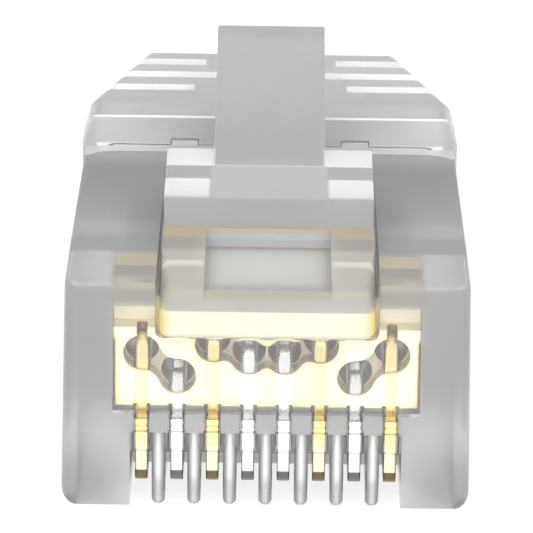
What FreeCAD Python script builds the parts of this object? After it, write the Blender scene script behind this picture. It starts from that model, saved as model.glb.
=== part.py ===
import FreeCAD, Part
import math
import os

# An eight-position modular plug: a clear moulded housing with a latch on top, a wire manager and
# eight stamped contacts inside, and a slotted strain relief boot snapped on behind.
# Millimetres. X runs across the plug, Y from the nose to the cable and Z up from the contact side.
# The sketches measure Y from the nose face; place() moves every piece to the frame's origin, which
# is the middle of the plug's length on its resting face.

# Housing body
BODY_WIDTH = 11.68          # widest, on the contact side
BODY_LENGTH = 14.10         # nose face to the boot's front edge
NOSE_HEIGHT = 6.74          # contact side to the top pads
LEAD_IN_FALL = 0.12         # the nose face is lower than the pads by this
LEAD_IN = 2.75              # length of the slope between them
SIDE_DRAFT = 0.9            # degrees, each side
PAD_LENGTH = 13.10          # the top pads end here
PAD_STEP = 0.12             # rise of the pads over the ledge in front of the boot
PAD_CORNER_R = 1.0
NOSE_CORNER_R = 0.50        # upright front corners
NOSE_TOP_R = 0.18           # edges round the nose face and along the top
BOTTOM_EDGE_R = 0.45

# Contact comb
CONTACTS = 8
PITCH = 1.016
RIB_WIDTH = 0.39
COMB_TOP = 2.20             # top of the recess in the nose face
COMB_RECESS = 0.35          # depth of that recess
WEB_BOTTOM = 1.50           # below this the contacts are bare
WEB_WALL = 0.18             # web between the recess and the blade slots
RIB_EDGE_R = 0.19           # nearly half the rib's width, on its front and its lower edge

# Contacts
BLADE_THICKNESS = 0.36
BLADE_GAP = 0.03            # clearance on each side of a blade
FOOT_BOTTOM = 0.46
FOOT_NOSE_R = 0.41
FOOT_HEEL = 0.60
BLADE_LENGTH = 3.00
TINES = 2
TINE_NOTCH = 0.75           # depth of the notches between the tines
TIP_HEIGHTS = (4.80, 3.60, 4.80, 4.35, 4.35, 4.80, 3.60, 4.80)

# Chamber and wire manager
FRONT_WALL = 1.20           # nose face to the chamber
MANAGER_WIDTH = 8.80
MANAGER_HEIGHT = 3.13
MANAGER_LENGTH = 2.45
MANAGER_BOTTOM = 2.65
MANAGER_GAP = 0.05
MANAGER_LIP = 0.09          # the front lip stands out this far at each side
MANAGER_LIP_HEIGHT = 0.35
MANAGER_BEVEL = 0.10
MANAGER_FOOT_R = 0.13       # lower edges along the blade slots
MANAGER_WALL = 0.15         # wall in front of the blade slots
MANAGER_NOTCH = 0.16        # the slots are open to the front up to this height
STEP_DEPTH = 0.70           # steps at the front of the manager's top, one at each side
STEP_LENGTH = 0.72
STEP_INNER_X = 3.10
WIRE_HOLE_R = 0.48
WIRE_MOUTH_R = 0.53         # wider mouth of each hole at the nose
WIRE_MOUTH_DEPTH = 0.70
WIRE_NECK = 0.66            # narrowest height of the openings that join neighbouring mouths
WIRE_FUNNEL = 0.30          # bevel of the holes on the cable side
WIRE_HEIGHTS = (4.32, 3.63, 4.58, 4.23, 4.23, 4.58, 3.63, 4.32)
JOINED_RISE = 0.80          # neighbouring mouths open into each other up to this difference in height
VENT_WIDTH = 0.30           # slots over the outermost holes, with round inner ends
VENT_LENGTH = 0.62

# Cable cavity
CABLE_DIAMETER = 5.00
CABLE_GAP = 0.05            # clearance all round the cable
CAVITY_WIDTH = 8.40
CAVITY_FLOOR_RAMP = 0.90
CAVITY_ROOF_RAMP = 0.85
CHAMBER_ROOF = 0.18         # wall between the chamber and the latch channel
REAR_ROOF = 0.40            # the cavity's roof is lower by this from here on
REAR_ROOF_Y = 7.00

# Strain relief bar in the contact side
BAR_WIDTH = 6.00
BAR_LENGTH = 2.90
BAR_START = 10.30
BAR_GAP = 0.22
BAR_HINGE = 0.30            # thickness left where the bar bends
BAR_RECESS = 0.22           # contact side to the bar's face

# Latch
LATCH_WIDTH = 6.10
LATCH_SIDE_GAP = 0.12
LATCH_CLEARANCE = 0.03      # at the root's seat
ROOT_PROUD = 0.20           # the root stands out of the nose face by this
ROOT_DEPTH = 1.10
ROOT_BOTTOM = 5.06
ROOT_TOP = 5.94
ROOT_CORNER_R = 0.23
STRIP_EDGE_R = 0.34
CREST_Y = 1.60
CREST_Z = 6.79
WEDGE_Y = 4.15
WEDGE_FOOT_Z = 7.12
WEDGE_TOP_Z = 7.92
WEDGE_LEAN = 0.10
SHOULDER_Y = 8.36
SHOULDER_TOP_Z = 8.24
SHOULDER_BOTTOM_Z = 7.22
HINGE_UNDER_Y = 1.60
HINGE_UNDER_Z = 6.22
WEDGE_UNDER_Z = 6.53
POCKET_WIDTH = 3.60
POCKET_FRONT_Y = 0.25
POCKET_BACK_Y = 3.92
POCKET_BACK_DEPTH = 0.35
POCKET_CORNER_R = 0.12
TAB_WIDTH = 3.30
TAB_START_Y = 6.90
TAB_BEND_Y = 8.90
TAB_BEND_Z = 8.76
TAB_LIP_Y = 13.30
TAB_LIP_Z = 10.10
TAB_END_Y = 14.40
TAB_END_Z = 10.50
TAB_ROOT_THICKNESS = 0.95
TAB_END_THICKNESS = 0.80
LATCH_EDGE_R = 0.07

# Neck behind the body, inside the boot
NECK_LENGTH = 2.30
NECK_WALL = 0.45
NECK_GAP = 0.05             # between the neck and the boot
NECK_EDGE_R = 0.40
NIB_INNER_X = 2.25
NIB_WIDTH = 0.80
NIB_HEIGHT = 0.16
NIB_LENGTH = 0.50
NIB_GAP = 0.04

# Strain relief boot
BOOT_HEIGHT = 7.60
BOOT_LENGTH = 9.10
BOOT_COLLAR = 1.80          # straight part before the taper
BOOT_END_WIDTH = 8.22
BOOT_TOP_FALL = 0.33        # fall of the top over the taper
BOOT_LEAN = 0.24            # each side of the collar leans in by this
BOOT_SHOULDER = 0.85        # over this height below the top
BOOT_BOTTOM_RISE = 0.40
BOOT_WALL = 0.60            # under and beside the neck
BOOT_EDGE_R = 0.30
BOOT_RIM_R = 0.10
BOOT_END_R = 0.25
SLOT_WIDTH = 0.80
SLOT_PITCH = 1.90
FIRST_SLOT = 3.75           # boot's front edge to the middle of the first slot
SLOT_SPINES = (4.90, 2.80, 4.26)    # width left standing at each slot

# How far a piece is drawn into the one that it is moulded with, and a cut past what it cuts
SINK = 0.10
PAST = 1.00

# Worked out from the sizes above
TOTAL_LENGTH = ROOT_PROUD + BODY_LENGTH + BOOT_LENGTH
MIDDLE_Y = BODY_LENGTH + BOOT_LENGTH - TOTAL_LENGTH / 2
DRAFT_SLOPE = math.tan(math.radians(SIDE_DRAFT))
NOSE_FRONT_HEIGHT = NOSE_HEIGHT - LEAD_IN_FALL
COMB_HALF = (CONTACTS * PITCH - RIB_WIDTH) / 2
LEDGE_Z = NOSE_HEIGHT - PAD_STEP
BLADE_FRONT = COMB_RECESS + WEB_WALL + BLADE_GAP
CHAMBER_BACK = FRONT_WALL + MANAGER_LENGTH + 2 * MANAGER_GAP
CHAMBER_FLOOR = MANAGER_BOTTOM - MANAGER_GAP
BLADE_SLOT_TOP = CHAMBER_FLOOR - SINK
CHAMBER_CEILING = MANAGER_BOTTOM + MANAGER_HEIGHT + MANAGER_GAP
CHANNEL_FLOOR = CHAMBER_CEILING + CHAMBER_ROOF
CHANNEL_HALF = LATCH_WIDTH / 2 + LATCH_SIDE_GAP
BORE_R = CABLE_DIAMETER / 2 + CABLE_GAP
NECK_BOTTOM = BOOT_WALL + NECK_GAP
NECK_HEIGHT = 2 * (BORE_R + NECK_WALL)
NECK_TOP = NECK_BOTTOM + NECK_HEIGHT
NECK_WIDTH = BODY_WIDTH - 2 * (BOOT_WALL + NECK_GAP)
CABLE_Z = NECK_BOTTOM + NECK_HEIGHT / 2
BAR_THICKNESS = CABLE_Z - BORE_R


def vec(x, y, z):
    return FreeCAD.Vector(x, y, z)


def box(x0, x1, y0, y1, z0, z1):
    return Part.makeBox(x1 - x0, y1 - y0, z1 - z0, vec(x0, y0, z0))


def side_prism(points, half_width):
    """A profile of (y, z) points, extruded across the plug."""
    wire = Part.makePolygon([vec(-half_width, y, z) for y, z in points + points[:1]])
    return Part.Face(wire).extrude(vec(2 * half_width, 0, 0))


def front_prism(points, y0, y1):
    """A profile of (x, z) points, extruded along the plug."""
    wire = Part.makePolygon([vec(x, y0, z) for x, z in points + points[:1]])
    return Part.Face(wire).extrude(vec(0, y1 - y0, 0))


def round_edges(shape, radius, wanted):
    """Round the edges for which wanted(lowest corner, highest corner) is true."""
    edges = []
    for edge in shape.Edges:
        b = edge.BoundBox
        if wanted(vec(b.XMin, b.YMin, b.ZMin), vec(b.XMax, b.YMax, b.ZMax)):
            edges.append(edge)
    return shape.makeFillet(radius, edges)


def near(a, b):
    return abs(a - b) < 1e-4


def contact_x(index):
    return (index - (CONTACTS - 1) / 2) * PITCH


def body_section(y0, y1):
    """The plug's outer section, narrower towards the top."""
    low = BODY_WIDTH / 2
    high = low - NOSE_HEIGHT * DRAFT_SLOPE
    return front_prism([(-low, 0), (low, 0), (high, NOSE_HEIGHT), (-high, NOSE_HEIGHT)], y0, y1)


def drafted_body():
    """The whole length of the section, with the lead-in over the nose."""
    profile = [
        (0, 0),
        (0, NOSE_FRONT_HEIGHT),
        (LEAD_IN, NOSE_HEIGHT),
        (BODY_LENGTH, NOSE_HEIGHT),
        (BODY_LENGTH, 0),
    ]
    return body_section(0, BODY_LENGTH).common(side_prism(profile, BODY_WIDTH))


def body_block():
    """Nose and body with the two top pads, before anything is cut out."""
    block = drafted_body()
    block = round_edges(block, NOSE_CORNER_R, lambda a, b: near(b.y, 0) and b.z - a.z > 1)
    block = round_edges(block, NOSE_TOP_R, lambda a, b: near(a.z, NOSE_FRONT_HEIGHT) and near(b.z, a.z))
    section = body_section(-PAST, BODY_LENGTH + PAST)
    section = round_edges(section, BOTTOM_EDGE_R, lambda a, b: near(b.z, 0) and b.y - a.y > LEAD_IN)
    block = block.common(section)
    half_top = BODY_WIDTH / 2 - NOSE_HEIGHT * DRAFT_SLOPE
    corner = PAD_LENGTH - PAD_CORNER_R
    ledge = box(-BODY_WIDTH, BODY_WIDTH, corner, BODY_LENGTH + PAST, LEDGE_Z, NOSE_HEIGHT + PAST)
    middle = half_top - PAD_CORNER_R
    pads = box(-middle, middle, corner - PAST, PAD_LENGTH, 0, NOSE_HEIGHT + PAST)
    for side in (-1, 1):
        pads = pads.fuse(Part.makeCylinder(PAD_CORNER_R, NOSE_HEIGHT + PAST, vec(side * middle, corner, 0)))
    return block.cut(ledge.cut(pads))


def comb_cut():
    """The open front and underside of the comb."""
    back = BLADE_FRONT + BLADE_LENGTH + BLADE_GAP
    low = box(-COMB_HALF, COMB_HALF, -PAST, back, -PAST, WEB_BOTTOM)
    high = box(-COMB_HALF, COMB_HALF, -PAST, COMB_RECESS, -PAST, COMB_TOP)
    return low.fuse(high)


def comb_ribs():
    """Ribs between the contacts, with full-round fronts and lower edges."""
    back = BLADE_FRONT + BLADE_LENGTH + 2 * BLADE_GAP
    ribs = []
    for index in range(CONTACTS - 1):
        x = contact_x(index) + PITCH / 2
        rib = box(x - RIB_WIDTH / 2, x + RIB_WIDTH / 2, 0, back, 0, COMB_TOP)
        rib = round_edges(rib, RIB_EDGE_R, lambda a, b: near(b.y, 0) and b.z - a.z > 1)
        rib = round_edges(rib, RIB_EDGE_R, lambda a, b: near(b.z, 0) and b.y - a.y > 1)
        ribs.append(rib)
    return ribs


def blade_slots():
    """Narrow slots from the comb up into the chamber, one for each blade."""
    half = BLADE_THICKNESS / 2 + BLADE_GAP
    back = BLADE_FRONT + BLADE_LENGTH + BLADE_GAP
    slots = []
    for index in range(CONTACTS):
        x = contact_x(index)
        front = BLADE_FRONT - BLADE_GAP
        slots.append(box(x - half, x + half, front, back, WEB_BOTTOM - SINK, BLADE_SLOT_TOP))
        slots.append(box(x - half, x + half, FRONT_WALL, back, WEB_BOTTOM - SINK, CHAMBER_FLOOR + SINK))
    return slots


def inner_cavity():
    """Chamber for the wire manager, then the cable cavity out through the neck."""
    half = MANAGER_WIDTH / 2 + MANAGER_GAP
    cavity = box(-half, half, FRONT_WALL, CHAMBER_BACK, CHAMBER_FLOOR, CHAMBER_CEILING)
    floor = CABLE_Z - BORE_R
    roof = CABLE_Z + BORE_R
    back = BODY_LENGTH + NECK_LENGTH + PAST
    start = CHAMBER_BACK - MANAGER_GAP
    rise = BODY_LENGTH + NECK_WALL
    rear_ceiling = CHAMBER_CEILING - REAR_ROOF
    profile = [
        (start, CHAMBER_FLOOR),
        (start, CHAMBER_CEILING),
        (REAR_ROOF_Y, CHAMBER_CEILING),
        (REAR_ROOF_Y + REAR_ROOF, rear_ceiling),
        (rise, rear_ceiling),
        (rise + CAVITY_ROOF_RAMP, roof),
        (back, roof),
        (back, floor),
        (start + CAVITY_FLOOR_RAMP, floor),
    ]
    return cavity.fuse(side_prism(profile, CAVITY_WIDTH / 2))


def neck():
    """Reduced section that the boot goes over, with its two snap nibs."""
    half = NECK_WIDTH / 2
    y0 = BODY_LENGTH - 1
    y1 = BODY_LENGTH + NECK_LENGTH
    shape = box(-half, half, y0, y1, NECK_BOTTOM, NECK_TOP)
    shape = round_edges(shape, NECK_EDGE_R, lambda a, b: b.y - a.y > 1)
    shape = shape.common(box(-half, half, BODY_LENGTH, y1, 0, BOOT_HEIGHT))
    for side in (-1, 1):
        x = side * (NIB_INNER_X + NIB_WIDTH / 2)
        nib_y = BODY_LENGTH + NIB_GAP
        foot = NECK_TOP - SINK
        slope = [(nib_y, foot), (nib_y, NECK_TOP + NIB_HEIGHT), (nib_y + NIB_LENGTH, foot)]
        nib = side_prism(slope, NIB_WIDTH / 2)
        nib.translate(vec(x, 0, 0))
        shape = shape.fuse(nib)
    return shape


def strain_bar():
    """The window in the contact side and the bar that is pressed onto the cable."""
    half = BAR_WIDTH / 2
    wide = half + BAR_GAP
    end = BAR_START + BAR_LENGTH
    window = box(-wide, wide, BAR_START, end + BAR_GAP, -PAST, BAR_THICKNESS)
    bar = side_prism(
        [
            (BAR_START - SINK, BAR_THICKNESS - BAR_HINGE),
            (BAR_START - SINK, BAR_THICKNESS),
            (end, BAR_THICKNESS),
            (end, BAR_RECESS),
            (BAR_START + BAR_LENGTH / 3, BAR_RECESS),
            (BAR_START + BAR_GAP, BAR_THICKNESS - BAR_HINGE),
        ],
        half,
    )
    return window, bar


def latch_channel():
    """Channel under the latch and the seat of its root in the nose face."""
    channel = box(-CHANNEL_HALF, CHANNEL_HALF, -PAST, BODY_LENGTH, CHANNEL_FLOOR, NOSE_HEIGHT + PAST)
    seat_back = ROOT_DEPTH - ROOT_PROUD + LATCH_CLEARANCE
    seat_floor = ROOT_BOTTOM - LATCH_CLEARANCE
    seat = box(-CHANNEL_HALF, CHANNEL_HALF, -PAST, seat_back, seat_floor, NOSE_HEIGHT + PAST)
    seat = round_edges(seat, ROOT_CORNER_R, lambda a, b: near(b.z, seat_floor) and b.y - a.y > 0.5)
    return channel.fuse(seat)


def plug_housing():
    window, bar = strain_bar()
    shape = body_block().fuse(neck())
    shape = shape.cut(inner_cavity())
    shape = shape.cut(comb_cut())
    shape = shape.cut(latch_channel())
    shape = shape.cut(window)
    shape = shape.fuse(comb_ribs() + [bar])
    shape = shape.cut(Part.makeCompound(blade_slots()))
    return shape.removeSplitter()


def contact(index):
    """A stamped blade: a bare foot with a round nose below, piercing tines above."""
    y0 = BLADE_FRONT
    y1 = BLADE_FRONT + BLADE_LENGTH
    tine_front = FRONT_WALL + MANAGER_GAP + MANAGER_WALL + 2 * BLADE_GAP
    waist = BLADE_SLOT_TOP - BLADE_GAP
    tip = TIP_HEIGHTS[index]
    step = (y1 - tine_front) / TINES
    crown = []
    for tine in range(TINES):
        start = tine_front + tine * step
        if tine:
            crown.append((start, tip - TINE_NOTCH))
        crown.append((start + step * 0.28, tip))
        crown.append((start + step * 0.62, tip))
    profile = [(y0, FOOT_BOTTOM), (y0, waist), (tine_front, waist), (tine_front, tip - TINE_NOTCH / 2)]
    profile += crown
    profile += [(y1, tip - TINE_NOTCH / 2), (y1, FOOT_BOTTOM + FOOT_HEEL), (y1 - FOOT_HEEL, FOOT_BOTTOM)]
    blade = side_prism(profile, BLADE_THICKNESS / 2)
    blade = round_edges(blade, FOOT_NOSE_R, lambda a, b: near(b.z, FOOT_BOTTOM) and near(b.y, y0))
    blade.translate(vec(contact_x(index), 0, 0))
    return blade


def joined_opening(first, second, y0, y1):
    """The opening between two neighbouring wire holes, with outlines that run smoothly into both."""
    a = vec(contact_x(first), 0, WIRE_HEIGHTS[first])
    b = vec(contact_x(second), 0, WIRE_HEIGHTS[second])
    reach = a.distanceToPoint(b) / 2
    waist = WIRE_NECK / 2
    curve = (reach ** 2 + waist ** 2 - WIRE_MOUTH_R ** 2) / (2 * (WIRE_MOUTH_R - waist))
    across = vec(a.z - b.z, 0, b.x - a.x).normalize() * (waist + curve)
    middle = (a + b) / 2
    above, below = middle + across, middle - across
    opening = front_prism([(p.x, p.z) for p in (a, above, b, below)], y0, y1)
    length = y1 - y0 + 2 * PAST
    for p in (above, below):
        opening = opening.cut(Part.makeCylinder(curve, length, vec(p.x, y0 - PAST, p.z), vec(0, 1, 0)))
    return opening


def wire_manager():
    """Loading block with staggered wire holes, a step at each side and a slot round each blade."""
    y0 = FRONT_WALL + MANAGER_GAP
    y1 = y0 + MANAGER_LENGTH
    top = MANAGER_BOTTOM + MANAGER_HEIGHT
    half = MANAGER_WIDTH / 2
    shape = side_prism(
        [
            (y0, MANAGER_BOTTOM),
            (y0, top - MANAGER_BEVEL),
            (y0 + MANAGER_BEVEL / 2, top),
            (y1, top),
            (y1, MANAGER_BOTTOM),
        ],
        half,
    )
    step_z = top - STEP_DEPTH
    for side in (-1, 1):
        step = side_prism(
            [
                (y0 - PAST, step_z - MANAGER_BEVEL - 2 * PAST),
                (y0 + MANAGER_BEVEL / 2, step_z),
                (y0 + STEP_LENGTH, step_z),
                (y0 + STEP_LENGTH, top + PAST),
                (y0 - PAST, top + PAST),
            ],
            (half + PAST - STEP_INNER_X) / 2,
        )
        step.translate(vec(side * (half + PAST + STEP_INNER_X) / 2, 0, 0))
        shape = shape.cut(step)
        x0, x1 = sorted((side * (half - MANAGER_LIP), side * (half + PAST)))
        shape = shape.cut(box(x0, x1, y0 - PAST, y0 + STEP_LENGTH, 0, step_z - MANAGER_LIP_HEIGHT))
    slot_half = BLADE_THICKNESS / 2 + 2 * BLADE_GAP
    along = vec(0, 1, 0)
    notch_top = MANAGER_BOTTOM + MANAGER_NOTCH
    for index in range(CONTACTS):
        x = contact_x(index)
        shape = shape.cut(box(x - slot_half, x + slot_half, y0 - PAST, y1 + PAST, 0, notch_top))

    def slot_foot(a, b):
        return near(b.z, MANAGER_BOTTOM) and b.y - a.y > STEP_LENGTH and abs(a.x) < half - slot_half

    shape = round_edges(shape, MANAGER_FOOT_R, slot_foot)
    cuts = []
    for index in range(CONTACTS):
        x, z = contact_x(index), WIRE_HEIGHTS[index]
        cuts.append(Part.makeCylinder(WIRE_HOLE_R, MANAGER_LENGTH + 2 * PAST, vec(x, y0 - PAST, z), along))
        cuts.append(Part.makeCylinder(WIRE_MOUTH_R, WIRE_MOUTH_DEPTH + PAST, vec(x, y0 - PAST, z), along))
        flare = WIRE_MOUTH_R
        cuts.append(Part.makeCone(WIRE_HOLE_R, flare, WIRE_FUNNEL, vec(x, y1 - WIRE_FUNNEL, z), along))
        slot_top = TIP_HEIGHTS[index] + BLADE_GAP
        cuts.append(box(x - slot_half, x + slot_half, y0 + MANAGER_WALL, y1 + PAST, MANAGER_BOTTOM, slot_top))
    for index in range(CONTACTS - 1):
        if abs(WIRE_HEIGHTS[index + 1] - WIRE_HEIGHTS[index]) < JOINED_RISE:
            cuts.append(joined_opening(index, index + 1, y0 - PAST, y0 + WIRE_MOUTH_DEPTH))
    for x in (contact_x(0), contact_x(CONTACTS - 1)):
        wide = VENT_WIDTH / 2
        vent_end = y0 + VENT_LENGTH - wide
        cuts.append(box(x - wide, x + wide, y0 - PAST, vent_end, WIRE_HEIGHTS[0], top + PAST))
        cuts.append(Part.makeCylinder(wide, MANAGER_HEIGHT + PAST, vec(x, vent_end, WIRE_HEIGHTS[0])))
    for cut in cuts:
        shape = shape.cut(cut)
    return shape.removeSplitter()


def latch_strip():
    """Root and rising strip, with the large rounds along its sides and front corners."""
    half = LATCH_WIDTH / 2
    root_back = ROOT_DEPTH - ROOT_PROUD
    strip_slope = (CREST_Z - ROOT_TOP) / (CREST_Y + ROOT_PROUD)
    strip_top = ROOT_TOP + strip_slope * (WEDGE_Y + ROOT_PROUD)
    strip = side_prism(
        [
            (-ROOT_PROUD, ROOT_BOTTOM),
            (-ROOT_PROUD, ROOT_TOP),
            (WEDGE_Y, strip_top),
            (WEDGE_Y, WEDGE_UNDER_Z),
            (HINGE_UNDER_Y, HINGE_UNDER_Z),
            (root_back, CHANNEL_FLOOR + 2 * LATCH_CLEARANCE),
            (root_back, ROOT_BOTTOM),
        ],
        half,
    )

    def front_corner(a, b):
        return near(b.y, -ROOT_PROUD) and near(a.x, b.x)

    def top_side(a, b):
        return near(a.x, b.x) and near(b.z, strip_top) and near(b.y, WEDGE_Y) and near(a.y, -ROOT_PROUD)

    def root_under(a, b):
        return near(b.z, ROOT_BOTTOM) and near(a.x, b.x)

    strip = round_edges(strip, STRIP_EDGE_R, lambda a, b: front_corner(a, b) or top_side(a, b))
    strip = round_edges(strip, ROOT_CORNER_R, root_under)
    roof = [(CREST_Y, CREST_Z), (WEDGE_Y, WEDGE_FOOT_Z), (WEDGE_Y, strip_top + 1), (CREST_Y, strip_top + 1)]
    return strip.cut(side_prism(roof, half + 1))


def latch_lever():
    """Strip, wedge with the locking shoulder, and the release tab, moulded in one."""
    half = LATCH_WIDTH / 2
    under_slope = (SHOULDER_BOTTOM_Z - WEDGE_UNDER_Z) / (SHOULDER_Y - WEDGE_Y)
    top_slope = (SHOULDER_TOP_Z - WEDGE_TOP_Z) / (SHOULDER_Y - WEDGE_Y - WEDGE_LEAN)
    wedge = side_prism(
        [
            (WEDGE_Y, WEDGE_UNDER_Z),
            (WEDGE_Y, WEDGE_FOOT_Z),
            (WEDGE_Y + WEDGE_LEAN, WEDGE_TOP_Z),
            (SHOULDER_Y, SHOULDER_TOP_Z),
            (SHOULDER_Y, SHOULDER_BOTTOM_Z),
        ],
        half,
    )
    wedge = round_edges(wedge, LATCH_EDGE_R, lambda a, b: near(b.z, SHOULDER_TOP_Z) or near(b.z, WEDGE_TOP_Z))
    tab_start_z = WEDGE_TOP_Z + top_slope * (TAB_START_Y - WEDGE_Y - WEDGE_LEAN)
    tab_slope = (TAB_LIP_Z - TAB_BEND_Z) / (TAB_LIP_Y - TAB_BEND_Y)
    tab = side_prism(
        [
            (TAB_START_Y, tab_start_z),
            (TAB_BEND_Y, TAB_BEND_Z),
            (TAB_LIP_Y, TAB_LIP_Z),
            (TAB_END_Y, TAB_END_Z),
            (TAB_END_Y, TAB_END_Z - TAB_END_THICKNESS),
            (TAB_BEND_Y, TAB_BEND_Z - TAB_ROOT_THICKNESS),
            (TAB_START_Y, WEDGE_UNDER_Z + under_slope * (TAB_START_Y - WEDGE_Y) + LATCH_EDGE_R),
        ],
        TAB_WIDTH / 2,
    )
    tab = round_edges(tab, LATCH_EDGE_R, lambda a, b: near(b.y, TAB_END_Y))
    lever = latch_strip().fuse([wedge, tab]).removeSplitter()
    back_floor = WEDGE_FOOT_Z - POCKET_BACK_DEPTH
    strip_slope = (CREST_Z - ROOT_TOP) / (CREST_Y + ROOT_PROUD)
    front_floor = ROOT_TOP + strip_slope * (POCKET_FRONT_Y + ROOT_PROUD)
    pocket = side_prism(
        [
            (POCKET_FRONT_Y, front_floor),
            (POCKET_BACK_Y, back_floor),
            (POCKET_BACK_Y, WEDGE_TOP_Z),
            (POCKET_FRONT_Y, WEDGE_TOP_Z),
        ],
        POCKET_WIDTH / 2,
    )
    pocket = round_edges(pocket, POCKET_CORNER_R, lambda a, b: near(b.y, POCKET_FRONT_Y) and near(a.x, b.x))
    return lever.cut(pocket)


def boot_slot(index):
    """One pair of side slots, with half-round inner ends, that leaves a spine between them."""
    y = BODY_LENGTH + FIRST_SLOT + index * SLOT_PITCH
    spine = SLOT_SPINES[index] / 2
    pair = []
    for side in (-1, 1):
        inner = side * (spine + SLOT_WIDTH / 2)
        x0, x1 = sorted((inner, side * BODY_WIDTH))
        slot = box(x0, x1, y - SLOT_WIDTH / 2, y + SLOT_WIDTH / 2, -PAST, BOOT_HEIGHT + PAST)
        end = Part.makeCylinder(SLOT_WIDTH / 2, BOOT_HEIGHT + 2 * PAST, vec(inner, y, -PAST))
        pair.append(slot.fuse(end))
    return pair


def strain_relief_boot():
    """Clear boot: a square collar over the neck, then a tapered, slotted sleeve to the cable."""
    y0 = BODY_LENGTH
    y1 = BODY_LENGTH + BOOT_COLLAR
    y2 = BODY_LENGTH + BOOT_LENGTH
    half = BODY_WIDTH / 2
    end_half = BOOT_END_WIDTH / 2

    def section(y, low_half, high_half, bottom, top):
        right = [(low_half, bottom), (low_half, top - BOOT_SHOULDER), (high_half, top)]
        points = right + [(-x, z) for x, z in reversed(right)]
        return Part.makePolygon([vec(x, y, z) for x, z in points + points[:1]])

    rim = section(y0, half, half - BOOT_LEAN, 0, BOOT_HEIGHT)
    knee = section(y1, half, half - BOOT_LEAN, 0, BOOT_HEIGHT)
    end = section(y2, end_half, end_half, BOOT_BOTTOM_RISE, BOOT_HEIGHT - BOOT_TOP_FALL)
    collar = Part.makeLoft([rim, knee], True)
    taper = Part.makeLoft([knee, end], True)
    shape = collar.fuse(taper)
    shape = round_edges(shape, BOOT_EDGE_R, lambda a, b: b.y - a.y > 1)
    shape = round_edges(shape, BOOT_END_R, lambda a, b: near(a.y, y2))
    shape = round_edges(shape, BOOT_RIM_R, lambda a, b: near(b.y, y0))
    pocket_half = NECK_WIDTH / 2 + NECK_GAP
    pocket_back = y0 + NECK_LENGTH + NECK_GAP
    pocket_floor = NECK_BOTTOM - NECK_GAP
    pocket = box(-pocket_half, pocket_half, y0 - PAST, pocket_back, pocket_floor, NECK_TOP + NECK_GAP)
    pocket = round_edges(pocket, NECK_EDGE_R, lambda a, b: b.y - a.y > 1)
    bore = Part.makeCylinder(BORE_R, BOOT_LENGTH + 2 * PAST, vec(0, y0 - PAST, CABLE_Z), vec(0, 1, 0))
    shape = shape.cut(pocket).cut(bore)
    for side in (-1, 1):
        x = side * (NIB_INNER_X + NIB_WIDTH / 2)
        wide = NIB_WIDTH / 2 + NIB_GAP
        window_top = NECK_TOP + NIB_HEIGHT + 2 * NIB_GAP
        window_back = y0 + NIB_LENGTH + 2 * NIB_GAP
        shape = shape.cut(box(x - wide, x + wide, y0 - PAST, window_back, NECK_TOP, window_top))
    for index in range(len(SLOT_SPINES)):
        for slot in boot_slot(index):
            shape = shape.cut(slot)
    return shape.removeSplitter()


def place(shape):
    shape.translate(vec(0, -MIDDLE_Y, 0))
    return shape


def save(name, shape):
    shape = place(shape)
    shape.exportStep("parts/" + name + ".step")
    print(name, shape.isValid(), len(shape.Solids), "solid", round(shape.Volume, 3), "mm3")


def main():
    os.makedirs("parts", exist_ok=True)
    save("plug_housing", plug_housing())
    save("wire_manager", wire_manager())
    for index in range(CONTACTS):
        save("contact_%d" % (index + 1), contact(index))
    save("latch_lever", latch_lever())
    save("strain_relief_boot", strain_relief_boot())


main()
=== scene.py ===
import math

import bmesh
import bpy
from mathutils import Matrix, Vector
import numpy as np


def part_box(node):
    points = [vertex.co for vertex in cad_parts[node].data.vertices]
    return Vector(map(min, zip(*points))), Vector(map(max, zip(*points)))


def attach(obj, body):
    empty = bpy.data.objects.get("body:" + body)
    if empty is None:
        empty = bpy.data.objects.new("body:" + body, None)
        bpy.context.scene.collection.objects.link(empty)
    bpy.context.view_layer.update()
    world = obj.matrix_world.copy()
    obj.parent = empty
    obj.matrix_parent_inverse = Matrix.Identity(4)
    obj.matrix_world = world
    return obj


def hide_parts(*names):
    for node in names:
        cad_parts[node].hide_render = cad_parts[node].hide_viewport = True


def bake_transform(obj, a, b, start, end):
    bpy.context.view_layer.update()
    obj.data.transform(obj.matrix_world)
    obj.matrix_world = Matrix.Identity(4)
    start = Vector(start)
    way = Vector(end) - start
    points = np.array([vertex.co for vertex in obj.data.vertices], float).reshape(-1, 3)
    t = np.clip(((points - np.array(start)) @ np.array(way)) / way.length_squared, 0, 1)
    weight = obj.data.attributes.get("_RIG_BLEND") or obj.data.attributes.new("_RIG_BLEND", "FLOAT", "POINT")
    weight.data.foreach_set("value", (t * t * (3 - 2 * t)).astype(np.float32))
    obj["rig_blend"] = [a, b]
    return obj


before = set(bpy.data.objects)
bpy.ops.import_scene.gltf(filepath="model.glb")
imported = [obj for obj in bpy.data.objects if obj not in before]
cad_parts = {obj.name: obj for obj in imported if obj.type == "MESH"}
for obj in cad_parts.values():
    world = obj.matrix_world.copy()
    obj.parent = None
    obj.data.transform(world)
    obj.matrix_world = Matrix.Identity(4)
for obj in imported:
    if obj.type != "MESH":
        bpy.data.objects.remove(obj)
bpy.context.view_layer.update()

MM = 0.001
SCENE = bpy.context.scene

# Millimetres. Places on the plug are given across from its middle, along from its nose face, and up from the
# side that its contacts are on
NOSE = -11.5                # where the nose face is in the frame
PITCH = 1.016               # from one contact to the next
FRONT_WALL = 1.20           # thickness of the wall in front of the loading block
MIDDLE = -1                 # a mirrored zone starts past the middle, so its two halves meet without a seam
POCKET_SIDE = 1.8           # just past the side of the latch's pocket, of the latch and of the loading block
LATCH_SIDE = 3.3
BLOCK_SIDE = 4.36
GOLD = (1, 3, 6, 8)         # the numbers of the contacts with each plating
NICKEL = (2, 4, 5, 7)

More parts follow.
